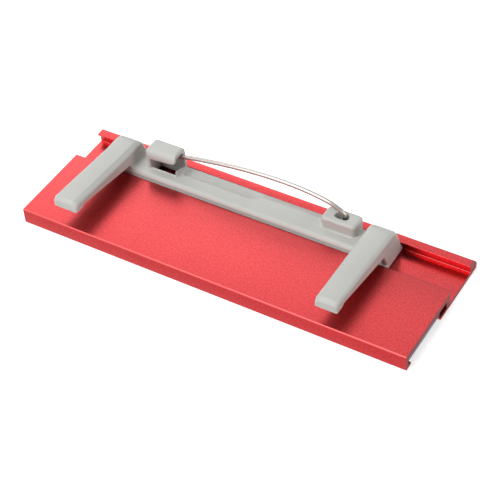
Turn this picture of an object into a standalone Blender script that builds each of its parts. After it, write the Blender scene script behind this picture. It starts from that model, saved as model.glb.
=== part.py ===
"""Name badge holder: an extruded plate with a sliding pin-and-clip fastener.

The badge lies on its face. X runs along the plate, +Y points to the dovetail rail and +Z to
the back of the badge, where the fastener sits. The origin is under the middle of the plate.
"""
import math

import bmesh
import bpy
from mathutils import Matrix, Vector

MM = 0.001

# Plate: widths across the section, from the front wall to the rail
PLATE_LENGTH = 75.0 * MM
FRONT_WALL = 0.9 * MM
SLOT_WIDTH = 13.85 * MM
WEB = 1.15 * MM
CHANNEL_WIDTH = 7.95 * MM
RAIL_WIDTH = 2.55 * MM

# Plate: heights of the section, from the face up
LIP_THICKNESS = 0.6 * MM
SLOT_HEIGHT = 1.5 * MM
SHEET_THICKNESS = 1.1 * MM
FLOOR_THICKNESS = 0.8 * MM

# Plate: lips, undercuts and edge rounds
FRONT_LIP = 0.85 * MM
REAR_LIP = 2.3 * MM
STEP_OVERHANG = 0.57 * MM
STEP_WEDGE = 0.95 * MM
RAIL_OVERHANG = 0.7 * MM
RAIL_WEDGE = 0.6 * MM
RAIL_NOSE = 0.25 * MM
RAIL_NOSE_DROP = 0.15 * MM
RAIL_DROP = 0.2 * MM
RAIL_CROWN = 0.8 * MM
RAIL_BASE = 0.85 * MM
RAIL_FOOT = 0.35 * MM
RAIL_BULGE = 0.12 * MM
EDGE_ROUND = 0.3 * MM

# Insert: a paper card behind a clear cover
INSERT_END_GAP = 0.3 * MM
INSERT_BACK_GAP = 1.33 * MM
COVER_THICKNESS = 0.75 * MM
CARD_THICKNESS = 0.25 * MM
INSERT_CLEARANCE = 0.12 * MM
INSERT_CORNER = 0.8 * MM

# Fastener: place along the plate and fit in the channel
FASTENER_LENGTH = 55.5 * MM
FASTENER_SHIFT = 2.65 * MM
SLIDE_CLEARANCE = 0.2 * MM

# Fastener: bar
BAR_RISE = 1.0 * MM
BAR_FLAT = 4.25 * MM
BEAD_ROUND = 0.9 * MM
NECK_RISE = 0.15 * MM
POST_NECK_RISE = 0.5 * MM
GROOVE_SETBACK = 2.95 * MM
GROOVE_RADIUS = 5.2 * MM
GROOVE_LENGTH = 16.4 * MM
GROOVE_GAP = 0.3 * MM

# Fastener: clip arms and the posts that carry them
ARM_WIDTH = 4.7 * MM
ARM_TIP_WIDTH = 4.4 * MM
ARM_REACH = 16.0 * MM
ARM_TOP = 4.7 * MM
ARM_TIP_LIFT = 0.5 * MM
ARM_ROOT_GAP = 1.6 * MM
ARM_TIP_GAP = 3.45 * MM
ARM_NOSE_DROP = 0.4 * MM
ARM_NOSE_LENGTH = 1.9 * MM
ARM_TIP_BEVEL = 0.65 * MM
ARM_ROUND = 0.42 * MM
ARM_SPLIT = 0.2 * MM
POST_TOP_DEPTH = 4.2 * MM
POST_BEND = 2.6 * MM
POST_LEAN = 0.4

# Fastener: catch hood
HOOD_GAP = 2.2 * MM
HOOD_LENGTH = 6.7 * MM
HOOD_SETBACK = 1.77 * MM
HOOD_DEPTH = 3.8 * MM
HOOD_RISE = 4.15 * MM
HOOD_WALL = 0.6 * MM
HOOD_ROOF = 0.75 * MM
HOOD_CROWN = 1.5 * MM
HOOD_LEFT_ROUND = 1.0 * MM
HOOD_RIGHT_ROUND = 0.35 * MM
HOOD_LIP_CORNER = 0.9 * MM
WINDOW_HEIGHT = 2.4 * MM
WINDOW_EDGE = 1.05 * MM
RIB_HEIGHT = 1.2 * MM
RIB_BACK_HEIGHT = 0.2 * MM
RIB_THICKNESS = 0.35 * MM
SILL_DEPTH = 0.35 * MM
CORE_HOLE_LENGTH = 3.7 * MM
CORE_HOLE_EDGE = 0.2 * MM
POCKET_SINK = 0.3 * MM

# Fastener: socket block
SOCKET_GAP = 2.2 * MM
SOCKET_LENGTH = 6.6 * MM
SOCKET_SETBACK = 2.42 * MM
SOCKET_DEPTH = 3.55 * MM
SOCKET_RISE = 2.25 * MM
SOCKET_ROUND = 0.4 * MM
SLOT_HOLE_LENGTH = 2.6 * MM
SLOT_HOLE_WIDTH = 1.5 * MM
SLOT_HOLE_DEPTH = 2.0 * MM
SLOT_HOLE_INSET = 2.0 * MM

# Pin: a bowed steel wire from the socket to the hood
PIN_DIAMETER = 0.75 * MM
PIN_SETBACK = 4.3 * MM
PIN_CLEARANCE = 0.2 * MM
PIN_TIP_INSIDE = 3.4 * MM
PIN_TIP_RISE = 2.15 * MM
PIN_TIP_SLOPE = 0.25
PIN_START_PULL = 2.9 * MM
PIN_TIP_PULL = 22.4 * MM
PIN_POINT = 2.4 * MM
PIN_POINT_RATIO = 0.2
PIN_STEPS = 40
PIN_ROUND_STEPS = 2

# Fineness of the curved faces
ARC_STEPS = 5
BEVEL_STEPS = 2
GROOVE_END_STEPS = 16
TURN_STEPS = 64
SHARP_ANGLE = 40.0
FLAT_ANGLE = 1.0
WELD_DISTANCE = 0.001 * MM

# Places worked out from the sizes above
plate_depth = FRONT_WALL + SLOT_WIDTH + WEB + CHANNEL_WIDTH + RAIL_WIDTH
plate_top = LIP_THICKNESS + SLOT_HEIGHT + SHEET_THICKNESS
front_y = -plate_depth / 2
slot_end_y = front_y + FRONT_WALL + SLOT_WIDTH
channel_front_y = slot_end_y + WEB
channel_back_y = channel_front_y + CHANNEL_WIDTH
rail_outer_y = channel_back_y + RAIL_WIDTH
slot_ceiling = LIP_THICKNESS + SLOT_HEIGHT
rail_top = plate_top - RAIL_DROP
rail_nose_top = rail_top - RAIL_NOSE_DROP
rail_nose_low = rail_nose_top - RAIL_NOSE
rail_under = rail_nose_low - RAIL_WEDGE

bar_front_y = channel_front_y + STEP_OVERHANG + SLIDE_CLEARANCE
bar_neck_y = channel_back_y - RAIL_OVERHANG - SLIDE_CLEARANCE
bar_low = FLOOR_THICKNESS + SLIDE_CLEARANCE
bar_top = plate_top + BAR_RISE
post_top = plate_top + ARM_TOP
fastener_left = -FASTENER_SHIFT - FASTENER_LENGTH / 2
fastener_right = -FASTENER_SHIFT + FASTENER_LENGTH / 2

hood_left = fastener_left + ARM_WIDTH + HOOD_GAP
hood_right = hood_left + HOOD_LENGTH
hood_front_y = bar_front_y + HOOD_SETBACK
hood_back_y = hood_front_y + HOOD_DEPTH
hood_top = bar_top + HOOD_RISE

socket_right = fastener_right - ARM_WIDTH - SOCKET_GAP
socket_left = socket_right - SOCKET_LENGTH
socket_front_y = bar_front_y + SOCKET_SETBACK
socket_top = bar_top + SOCKET_RISE

pin_y = bar_front_y + PIN_SETBACK
pin_x = socket_right - SLOT_HOLE_INSET - SLOT_HOLE_WIDTH / 2


# Scene and materials
for old in list(bpy.data.objects):
    bpy.data.objects.remove(old)


def new_collection(name):
    """Make a collection in the scene."""
    collection = bpy.data.collections.new(name)
    bpy.context.scene.collection.children.link(collection)
    return collection


PARTS = new_collection("name_badge_holder")
CUTTERS = new_collection("cutters")


def new_material(name, colour, roughness, metallic=0.0, transmission=0.0):
    """Make a Principled material of one colour."""
    material = bpy.data.materials.new(name)
    material.use_nodes = True
    shader = material.node_tree.nodes["Principled BSDF"]
    shader.inputs["Base Color"].default_value = (*colour, 1.0)
    shader.inputs["Roughness"].default_value = roughness
    shader.inputs["Metallic"].default_value = metallic
    shader.inputs["Transmission Weight"].default_value = transmission
    return material


RED_ANODISED = new_material("red_anodised", (0.62, 0.05, 0.06), 0.42, metallic=0.8)
GREY_PLASTIC = new_material("grey_plastic", (0.56, 0.57, 0.54), 0.45)
STEEL_WIRE = new_material("steel_wire", (0.72, 0.70, 0.67), 0.2, metallic=1.0)
WHITE_CARD = new_material("white_card", (0.85, 0.84, 0.80), 0.8)
CLEAR_PLASTIC = new_material("clear_plastic", (0.80, 0.86, 0.90), 0.1, transmission=0.8)


# Shape helpers
SWEEPS = {
    "X": Matrix(((0, 0, 1, 0), (1, 0, 0, 0), (0, 1, 0, 0), (0, 0, 0, 1))),
    "Y": Matrix(((1, 0, 0, 0), (0, 0, -1, 0), (0, 1, 0, 0), (0, 0, 0, 1))),
    "Z": Matrix.Identity(4),
}


def arc(centre, radii, start, end, steps=ARC_STEPS):
    """Points along an elliptical arc, with the angles in degrees."""
    points = []
    for step in range(steps + 1):
        angle = math.radians(start + (end - start) * step / steps)
        across = centre[0] + radii[0] * math.cos(angle)
        up = centre[1] + radii[1] * math.sin(angle)
        points.append((across, up))
    return points


def bulge(start, end, height, steps=ARC_STEPS):
    """Points of an arc between two places that stands out by a height to its right."""
    first = Vector(start)
    last = Vector(end)
    chord = last - first
    radius = (chord.length ** 2 / 4 + height ** 2) / (2 * height)
    outward = Vector((chord.y, -chord.x)).normalized()
    centre = (first + last) / 2 - outward * (radius - height)
    half = math.degrees(math.asin(chord.length / (2 * radius)))
    middle = math.degrees(math.atan2(outward.y, outward.x))
    return arc(centre, (radius, radius), middle - half, middle + half, steps)


def outline(*corners):
    """Turn corners, each with an optional fillet radius, into a list of points."""
    points = []
    for index, corner in enumerate(corners):
        here = Vector(corner[:2])
        radius = corner[2] if len(corner) > 2 else 0.0
        if radius <= 0.0:
            points.append(tuple(here))
            continue
        before = (Vector(corners[index - 1][:2]) - here).normalized()
        after = (Vector(corners[(index + 1) % len(corners)][:2]) - here).normalized()
        half = before.angle(after) / 2
        centre = here + (before + after).normalized() * radius / math.sin(half)
        first = here + before * radius / math.tan(half) - centre
        last = here + after * radius / math.tan(half) - centre
        start = math.degrees(math.atan2(first.y, first.x))
        turn = math.degrees(math.atan2(first.x * last.y - first.y * last.x, first.dot(last)))
        points += arc(centre, (radius, radius), start, start + turn)
    return points


def keep(mesh, name, material=None, origin=(0.0, 0.0, 0.0)):
    """Put a mesh in the scene, as a part when it has a material and as a cutter if not."""
    mesh.transform(Matrix.Translation(-Vector(origin)))
    obj = bpy.data.objects.new(name, mesh)
    obj.location = origin
    if material is None:
        CUTTERS.objects.link(obj)
        obj.hide_render = True
        obj.display_type = "WIRE"
    else:
        PARTS.objects.link(obj)
        mesh.materials.clear()
        mesh.materials.append(material)
    return obj


def prism(points, start, end, axis="X"):
    """Mesh of an outline swept between two places on an axis.

    The outline is (y, z) along X, (x, z) along Y and (x, y) along Z.
    """
    curve = bpy.data.curves.new("outline", "CURVE")
    curve.dimensions = "2D"
    curve.fill_mode = "BOTH"
    curve.extrude = (end - start) / 2
    spline = curve.splines.new("POLY")
    spline.points.add(len(points) - 1)
    for point, (across, up) in zip(spline.points, points):
        point.co = (across, up, 0.0, 1.0)
    spline.use_cyclic_u = True
    flat = bpy.data.objects.new("outline", curve)
    CUTTERS.objects.link(flat)
    graph = bpy.context.evaluated_depsgraph_get()
    mesh = bpy.data.meshes.new_from_object(flat.evaluated_get(graph))
    bpy.data.objects.remove(flat)
    middle = (start + end) / 2
    mesh.transform(SWEEPS[axis] @ Matrix.Translation((0, 0, -middle if axis == "Y" else middle)))
    weld(mesh)
    return mesh


def turned(points):
    """Mesh of a profile, given as places and radii along X, turned about X."""
    form = bmesh.new()
    ring = [form.verts.new((along, radius, 0.0)) for along, radius in points]
    edges = [form.edges.new(pair) for pair in zip(ring, ring[1:])]
    bmesh.ops.spin(form, geom=ring + edges, cent=(0.0, 0.0, 0.0), axis=(1.0, 0.0, 0.0),
                   angle=2 * math.pi, steps=TURN_STEPS, use_merge=True)
    mesh = bpy.data.meshes.new("turned")
    form.to_mesh(mesh)
    form.free()
    weld(mesh)
    return mesh


def weld(mesh):
    """Join the loose edges of a swept or turned form and point its faces out."""
    form = bmesh.new()
    form.from_mesh(mesh)
    bmesh.ops.remove_doubles(form, verts=form.verts, dist=WELD_DISTANCE)
    bmesh.ops.recalc_face_normals(form, faces=form.faces)
    form.to_mesh(mesh)
    form.free()


def combine(obj, mesh, name, operation):
    """Add, cut or intersect an object with another mesh."""
    other = keep(mesh, name)
    modifier = obj.modifiers.new(name, "BOOLEAN")
    modifier.operation = operation
    modifier.solver = "EXACT"
    modifier.object = other


def bevelled(mesh, width):
    """Round the sharp edges of a mesh."""
    form = bmesh.new()
    form.from_mesh(mesh)
    flat = math.radians(FLAT_ANGLE)
    bmesh.ops.dissolve_limit(form, angle_limit=flat, verts=form.verts, edges=form.edges)
    sharp = [edge for edge in form.edges if edge.calc_face_angle(0.0) > math.radians(SHARP_ANGLE)]
    bmesh.ops.bevel(form, geom=sharp, offset=width, segments=BEVEL_STEPS, profile=0.5,
                    affect="EDGES", clamp_overlap=True)
    form.to_mesh(mesh)
    form.free()
    return mesh


# Plate: one extrusion with the insert slot, the dovetail channel and the rail
def plate_section():
    """Outline of the extrusion in y and z."""
    rail_crown_y = channel_back_y + RAIL_CROWN
    rail_side = bulge((rail_outer_y, RAIL_BASE), (rail_crown_y, rail_top), RAIL_BULGE)
    face = outline(
        (front_y, plate_top, EDGE_ROUND),
        (front_y, 0.0, EDGE_ROUND),
        (front_y + FRONT_WALL + FRONT_LIP, 0.0),
        (front_y + FRONT_WALL + FRONT_LIP, LIP_THICKNESS),
        (front_y + FRONT_WALL, LIP_THICKNESS),
        (front_y + FRONT_WALL, slot_ceiling),
        (slot_end_y, slot_ceiling),
        (slot_end_y, LIP_THICKNESS),
        (slot_end_y - REAR_LIP, LIP_THICKNESS),
        (slot_end_y - REAR_LIP, 0.0),
        (rail_outer_y - RAIL_FOOT, 0.0),
    )
    channel = outline(
        (channel_back_y - RAIL_OVERHANG, rail_nose_top),
        (channel_back_y - RAIL_OVERHANG, rail_nose_low),
        (channel_back_y, rail_under),
        (channel_back_y, FLOOR_THICKNESS),
        (channel_front_y, FLOOR_THICKNESS),
        (channel_front_y, plate_top - STEP_WEDGE),
        (channel_front_y + STEP_OVERHANG, plate_top),
    )
    return face + rail_side + channel


keep(prism(plate_section(), -PLATE_LENGTH / 2, PLATE_LENGTH / 2), "badge_profile", RED_ANODISED)


# Insert: the cover rests on the slot's lips and the card lies on the cover
insert_front_y = front_y + FRONT_WALL + INSERT_CLEARANCE
insert_back_y = slot_end_y - INSERT_BACK_GAP
cover_low = LIP_THICKNESS + INSERT_CLEARANCE
card_low = cover_low + COVER_THICKNESS + INSERT_CLEARANCE


def insert_sheet(low, thickness):
    """A flat sheet with rounded corners that fits the slot."""
    half = PLATE_LENGTH / 2 - INSERT_END_GAP
    plan = outline(
        (-half, insert_front_y, INSERT_CORNER),
        (half, insert_front_y, INSERT_CORNER),
        (half, insert_back_y, INSERT_CORNER),
        (-half, insert_back_y, INSERT_CORNER),
    )
    return prism(plan, low, low + thickness, "Z")


keep(insert_sheet(cover_low, COVER_THICKNESS), "clear_cover", CLEAR_PLASTIC)
keep(insert_sheet(card_low, CARD_THICKNESS), "name_card", WHITE_CARD)


# Fastener: the foot shared by the bar and the posts follows the channel with a clearance
def foot_front():
    """Corners of the foot's front, from the channel floor up to the sheet."""
    return (
        (channel_front_y + SLIDE_CLEARANCE, bar_low),
        (channel_front_y + SLIDE_CLEARANCE, plate_top - STEP_WEDGE),
        (bar_front_y, plate_top),
    )


def foot_back(neck_rise):
    """Corners of the foot's back, from above the rail's nose down to the channel floor."""
    return (
        (bar_neck_y, rail_nose_top + neck_rise),
        (bar_neck_y, rail_nose_low),
        (channel_back_y - SLIDE_CLEARANCE, rail_under),
        (channel_back_y - SLIDE_CLEARANCE, bar_low),
    )


def post_section():
    """Outline of an end post, which leans back and bends forward into the arm."""
    return outline(
        *foot_front(),
        (bar_front_y, post_top),
        (bar_front_y + POST_TOP_DEPTH, post_top, POST_BEND),
        *foot_back(POST_NECK_RISE),
    )


def above_bar():
    """Outline of the room above the bar: over its front bead, its flat and its slope to the rail."""
    flat_end = Vector((bar_front_y + BAR_FLAT, bar_top))
    neck = Vector((bar_neck_y, rail_nose_top + NECK_RISE))
    past_neck = neck + (neck - flat_end)
    bead = arc((bar_front_y + BEAD_ROUND, bar_top - BEAD_ROUND), (BEAD_ROUND, BEAD_ROUND), 180.0, 90.0)
    return [
        (bar_front_y - BAR_RISE, bar_top - BEAD_ROUND),
        *bead,
        tuple(flat_end),
        tuple(past_neck),
        (past_neck.x, post_top + BAR_RISE),
        (bar_front_y - BAR_RISE, post_top + BAR_RISE),
    ]


def post_front():
    """Outline of the wedge cut from a post's front, which leans like its back."""
    high = plate_top + ARM_ROOT_GAP
    low = plate_top - STEP_WEDGE
    lean = POST_LEAN * (high - low)
    return [
        (bar_front_y, high),
        (bar_front_y - ARM_ROOT_GAP, high),
        (bar_front_y - ARM_ROOT_GAP, low),
        (bar_front_y + lean, low),
    ]


def hood_section():
    """Outline of the catch hood across the bar, with its foot sunk in the bar."""
    return outline(
        (hood_front_y, plate_top - HOOD_WALL),
        (hood_back_y, plate_top - HOOD_WALL),
        (hood_back_y, hood_top, HOOD_CROWN),
        (hood_front_y, hood_top, HOOD_CROWN),
    )


def hood_front():
    """Outline of the hood along the bar, with rounded upper ends."""
    return outline(
        (hood_left, plate_top),
        (hood_right, plate_top),
        (hood_right, hood_top, HOOD_RIGHT_ROUND),
        (hood_left, hood_top, HOOD_LEFT_ROUND),
    )


def hood_plan():
    """Outline of the hood from above, with rounded corners at its closed end."""
    return outline(
        (hood_left, hood_front_y, HOOD_LEFT_ROUND),
        (hood_right, hood_front_y),
        (hood_right, hood_back_y),
        (hood_left, hood_back_y, HOOD_LEFT_ROUND),
    )


pocket_front_y = hood_front_y + HOOD_ROOF
pocket_back_y = hood_back_y - HOOD_WALL
pocket_left = hood_left + HOOD_WALL
pocket_right = hood_right - RIB_THICKNESS
pocket_top = hood_top - HOOD_ROOF
window_top = bar_top + WINDOW_HEIGHT
rib_top = bar_top + RIB_HEIGHT
window_left = hood_left + WINDOW_EDGE
past_hood = hood_right + HOOD_WALL


def hood_window():
    """Outline of the window under the hood's front lip, open above the rib at its right end."""
    corner = (hood_right - HOOD_LIP_CORNER, window_top + HOOD_LIP_CORNER)
    radii = (HOOD_LIP_CORNER, HOOD_LIP_CORNER)
    return [
        (window_left, bar_top),
        (pocket_right, bar_top),
        (pocket_right, rib_top),
        (past_hood, rib_top),
        (past_hood, corner[1]),
        *arc(corner, radii, 0.0, -90.0),
        (window_left, window_top),
    ]


def groove_form():
    """A turned rod with a round end, which hollows the bar's back under the pin."""
    front = Vector((bar_front_y + GROOVE_SETBACK, bar_top))
    back = Vector((bar_neck_y, rail_nose_top + NECK_RISE))
    chord = back - front
    height = math.sqrt(GROOVE_RADIUS ** 2 - (chord.length / 2) ** 2)
    centre = (front + back) / 2 + Vector((-chord.y, chord.x)).normalized() * height
    start = hood_right + GROOVE_GAP
    reach = math.sqrt(GROOVE_RADIUS ** 2 - (centre.y - bar_top) ** 2)
    round_end = arc((start + GROOVE_LENGTH - reach, 0.0), (GROOVE_RADIUS, GROOVE_RADIUS), 90.0, 0.0,
                    GROOVE_END_STEPS)
    mesh = turned([(start, 0.0), (start, GROOVE_RADIUS), *round_end])
    mesh.transform(Matrix.Translation((0.0, *centre)))
    return mesh


def socket_block():
    """Rounded block on the bar, with its foot sunk in the bar."""
    plan = outline(
        (socket_left, socket_front_y),
        (socket_right, socket_front_y),
        (socket_right, socket_front_y + SOCKET_DEPTH),
        (socket_left, socket_front_y + SOCKET_DEPTH),
    )
    return bevelled(prism(plan, rail_nose_low, socket_top, "Z"), SOCKET_ROUND)


def socket_slot():
    """Oval hole in the top of the socket block for the end of the pin."""
    right = socket_right - SLOT_HOLE_INSET
    left = right - SLOT_HOLE_LENGTH
    half = SLOT_HOLE_WIDTH / 2
    ends = arc((right - half, pin_y), (half, half), -90.0, 90.0)
    ends += arc((left + half, pin_y), (half, half), 90.0, 270.0)
    return prism(ends, socket_top - SLOT_HOLE_DEPTH, socket_top + SOCKET_ROUND, "Z")


def build_clip_bar():
    """Bar, end posts, catch hood and socket, moulded in one."""
    bar = keep(prism(post_section(), fastener_left, fastener_right), "clip_bar", GREY_PLASTIC)
    between_posts = prism(above_bar(), fastener_left + ARM_WIDTH, fastener_right - ARM_WIDTH)
    combine(bar, between_posts, "between_posts_cut", "DIFFERENCE")
    past_end = fastener_left - ARM_WIDTH
    combine(bar, prism(post_front(), past_end, fastener_left + ARM_WIDTH), "left_post_cut", "DIFFERENCE")
    past_end = fastener_right + ARM_WIDTH
    combine(bar, prism(post_front(), fastener_right - ARM_WIDTH, past_end), "right_post_cut", "DIFFERENCE")
    hood = keep(prism(hood_section(), hood_left - HOOD_WALL, hood_right + HOOD_WALL), "hood_form")
    combine(hood, prism(hood_front(), hood_front_y - HOOD_WALL, hood_back_y + HOOD_WALL, "Y"),
            "hood_front_form", "INTERSECT")
    combine(hood, prism(hood_plan(), plate_top - HOOD_WALL, hood_top + HOOD_WALL, "Z"), "hood_plan_form",
            "INTERSECT")
    join_hood = bar.modifiers.new("hood", "BOOLEAN")
    join_hood.operation = "UNION"
    join_hood.object = hood
    combine(bar, prism(hood_window(), hood_front_y - HOOD_WALL, pocket_front_y + HOOD_WALL / 2, "Y"),
            "window_cut", "DIFFERENCE")
    pocket_round = HOOD_ROOF / 2
    pocket_floor = bar_top - POCKET_SINK
    pocket = outline(
        (pocket_front_y, pocket_floor),
        (pocket_back_y, pocket_floor),
        (pocket_back_y, pocket_top, pocket_round),
        (pocket_front_y, pocket_top, pocket_round),
    )
    combine(bar, prism(pocket, pocket_left, pocket_right), "pocket_cut", "DIFFERENCE")
    mouth = outline(
        (pocket_front_y, rib_top),
        (pocket_back_y, bar_top + RIB_BACK_HEIGHT),
        (pocket_back_y, pocket_top, pocket_round),
        (pocket_front_y, pocket_top, pocket_round),
    )
    combine(bar, prism(mouth, pocket_right - RIB_THICKNESS, past_hood), "mouth_cut", "DIFFERENCE")
    hole_right = pocket_right - CORE_HOLE_EDGE
    hole = outline(
        (hole_right - CORE_HOLE_LENGTH, hood_front_y + SILL_DEPTH),
        (hole_right, hood_front_y + SILL_DEPTH),
        (hole_right, pocket_back_y - CORE_HOLE_EDGE),
        (hole_right - CORE_HOLE_LENGTH, pocket_back_y - CORE_HOLE_EDGE),
    )
    combine(bar, prism(hole, bar_low - HOOD_WALL, bar_top, "Z"), "core_hole_cut", "DIFFERENCE")
    combine(bar, socket_block(), "socket_block", "UNION")
    combine(bar, socket_slot(), "socket_slot_cut", "DIFFERENCE")
    combine(bar, groove_form(), "groove_cut", "DIFFERENCE")


build_clip_bar()


# Clip arms: cantilevers that thin towards a nose, hinged at the top of the post's front face
arm_root_y = bar_front_y - ARM_SPLIT
arm_tip_y = bar_front_y - ARM_REACH


def arm_side():
    """Outline of a clip arm in y and z."""
    tip_top = post_top + ARM_TIP_LIFT
    nose_low = plate_top + ARM_TIP_GAP - ARM_NOSE_DROP
    nose_back_y = arm_tip_y + ARM_NOSE_LENGTH
    return outline(
        (arm_root_y, plate_top + ARM_ROOT_GAP),
        (arm_root_y, post_top),
        (arm_tip_y + ARM_TIP_BEVEL, tip_top),
        (arm_tip_y, tip_top - ARM_TIP_BEVEL),
        (arm_tip_y, nose_low),
        (nose_back_y, nose_low),
        (nose_back_y + ARM_NOSE_DROP, plate_top + ARM_TIP_GAP),
    )


def build_clip_arm(name, outer_x, inward):
    """One arm, straight on its outer side, narrowed on its inner side and rounded all round."""
    ends = sorted((outer_x, outer_x + inward * ARM_WIDTH))
    mesh = prism(arm_side(), *ends)
    for vertex in mesh.vertices:
        share = (arm_root_y - vertex.co.y) / (arm_root_y - arm_tip_y)
        width = ARM_WIDTH + (ARM_TIP_WIDTH - ARM_WIDTH) * share
        vertex.co.x = outer_x + (vertex.co.x - outer_x) * width / ARM_WIDTH
    bevelled(mesh, ARM_ROUND)
    keep(mesh, name, GREY_PLASTIC, (outer_x + inward * ARM_WIDTH / 2, bar_front_y, post_top))


build_clip_arm("left_clip_arm", fastener_left, 1.0)
build_clip_arm("right_clip_arm", fastener_right, -1.0)


# Pin: one bowed wire, held in the socket and sharpened at its free end in the hood
def build_pin_wire():
    """Straight stub in the socket, then a bow down into the hood's mouth."""
    foot = Vector((pin_x, pin_y, socket_top - SLOT_HOLE_DEPTH + PIN_CLEARANCE))
    start = Vector((pin_x, pin_y, socket_top))
    tip = Vector((hood_right - PIN_TIP_INSIDE, pin_y, bar_top + PIN_TIP_RISE))
    start_pull = start + Vector((0.0, 0.0, PIN_START_PULL))
    tip_pull = tip + Vector((1.0, 0.0, PIN_TIP_SLOPE)).normalized() * PIN_TIP_PULL
    path = [foot]
    for step in range(PIN_STEPS + 1):
        share = step / PIN_STEPS
        rest = 1.0 - share
        path.append(start * rest ** 3 + start_pull * (3 * rest ** 2 * share)
                    + tip_pull * (3 * rest * share ** 2) + tip * share ** 3)
    curve = bpy.data.curves.new("pin_wire", "CURVE")
    curve.dimensions = "3D"
    curve.bevel_depth = PIN_DIAMETER / 2
    curve.bevel_resolution = PIN_ROUND_STEPS
    curve.use_fill_caps = True
    spline = curve.splines.new("POLY")
    spline.points.add(len(path) - 1)
    for point, place in zip(spline.points, path):
        point.co = (*(place - start), 1.0)
        to_tip = (place - tip).length
        point.radius = min(1.0, PIN_POINT_RATIO + (1.0 - PIN_POINT_RATIO) * to_tip / PIN_POINT)
    curve.materials.append(STEEL_WIRE)
    wire = bpy.data.objects.new("pin_wire", curve)
    wire.location = start
    PARTS.objects.link(wire)


build_pin_wire()

print("plate", round(PLATE_LENGTH / MM, 2), "x", round(plate_depth / MM, 2), "x", round(plate_top / MM, 2))
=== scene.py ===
# %% [markdown]
# # A name badge holder, lying on its face
#
# The object is a staff badge seen from behind: a red anodised plate with a slot for the name card, a
# grey moulded fastener that slides in a dovetail channel, and a bowed steel pin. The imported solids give
# every place and size. This file dresses them with finer rounds and with the finishes that the real
# metal, plastic, wire and paper have.

# %% Load the solids
import math

import bmesh
import bpy
from mathutils import Matrix, Vector


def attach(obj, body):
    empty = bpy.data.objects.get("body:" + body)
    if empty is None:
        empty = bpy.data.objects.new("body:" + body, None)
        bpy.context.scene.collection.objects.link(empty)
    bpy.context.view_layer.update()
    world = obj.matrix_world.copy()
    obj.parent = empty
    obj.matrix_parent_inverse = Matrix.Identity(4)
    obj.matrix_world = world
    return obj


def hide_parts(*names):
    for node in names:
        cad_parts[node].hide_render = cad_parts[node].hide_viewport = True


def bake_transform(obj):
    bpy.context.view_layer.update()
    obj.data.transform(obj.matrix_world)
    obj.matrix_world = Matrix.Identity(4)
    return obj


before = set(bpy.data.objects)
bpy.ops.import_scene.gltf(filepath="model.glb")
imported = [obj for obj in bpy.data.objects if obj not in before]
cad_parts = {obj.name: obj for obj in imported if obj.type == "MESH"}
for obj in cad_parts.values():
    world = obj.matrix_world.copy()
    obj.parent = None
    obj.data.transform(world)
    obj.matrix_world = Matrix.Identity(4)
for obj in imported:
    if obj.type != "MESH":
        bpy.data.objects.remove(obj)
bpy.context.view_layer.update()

# %% [markdown]
# ## Shader sums in plain Python
#
# A finish is mostly arithmetic: a grain, plus a cloud, times a mask. Nodes can be wired one by one, but
# the sums get lost among the links. A small class wraps a socket, so that `1 - mask` adds the Math node
# by itself, and one method adds any other node.


# %% Socket class
class Field:
    """A shader socket that can be used in sums and can feed other nodes."""

    def __init__(self, tree, socket=None):
        self.tree = tree
        self.socket = socket

    def node(self, kind, settings, inputs, output=0):
        """Add a node: its settings first, then the values or links of its sockets."""
        made = self.tree.nodes.new(kind)
        for name, value in settings.items():
            setattr(made, name, value)
        for name, value in inputs.items():
            if isinstance(value, Field):
                self.tree.links.new(value.socket, made.inputs[name])
            else:
                made.inputs[name].default_value = value
        return Field(self.tree, made.outputs[output])

    def maths(self, operation, first, second):
        """Add a Math node on two values."""
        return self.node("ShaderNodeMath", {"operation": operation}, {0: first, 1: second})

    def __add__(self, other):
        return self.maths("ADD", self, other)

    __radd__ = __add__

    def __sub__(self, other):
        return self.maths("SUBTRACT", self, other)

    def __rsub__(self, other):
        return self.maths("SUBTRACT", other, self)

    def __mul__(self, other):
        return self.maths("MULTIPLY", self, other)

    __rmul__ = __mul__

    def above(self, low, high):
        """A mask that rises from 0 at low to 1 at high."""
        return self.node("ShaderNodeMapRange", {"interpolation_type": "SMOOTHSTEP"},
                         {"Value": self, "From Min": low, "From Max": high})

    def near(self, place, width):
        """A mask that is 1 at a place and 0 a width away on either side."""
        return self.above(place - width, place) * (1 - self.above(place, place + width))

    def colours(self, low, high):
        """A colour between two, by this mask. Either may be a colour that varies itself."""
        ends = [value if isinstance(value, Field) else (*value, 1.0) for value in (low, high)]
        return self.node("ShaderNodeMix", {"data_type": "RGBA"}, {0: self, 6: ends[0], 7: ends[1]}, 2)

    def feeds(self, shader, name):
        """Link this socket to a shader's input."""
        self.tree.links.new(self.socket, shader.inputs[name])


# %% [markdown]
# ## Starting a finish
#
# Every finish is laid out in millimetres on the object itself, so that a grain keeps its size on all
# pieces and travels with a piece that moves. Object coordinates do that. Generated coordinates would
# stretch the grain to each piece's own box.


# %% Finish helpers
MM = 0.001
THINNING_PER_MM = 0.2


def new_finish(name, **constants):
    """Make a Principled material with some constant sockets; give its parts for wiring."""
    material = bpy.data.materials.new(name)
    material.use_nodes = True
    shader = material.node_tree.nodes["Principled BSDF"]
    for socket, value in constants.items():
        shader.inputs[socket.replace("_", " ")].default_value = value
    return material, shader, Field(material.node_tree)


def millimetres(field, stretch=(1.0, 1.0, 1.0)):
    """The place on the piece in millimetres, stretched along each axis."""
    place = field.node("ShaderNodeTexCoord", {}, {}, "Object")
    scale = tuple(value / MM for value in stretch)
    return field.node("ShaderNodeVectorMath", {"operation": "MULTIPLY"}, {0: place, 1: scale})


def axis_of(place, name):
    """One coordinate of a place."""
    return place.node("ShaderNodeSeparateXYZ", {}, {0: place}, name)


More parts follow.
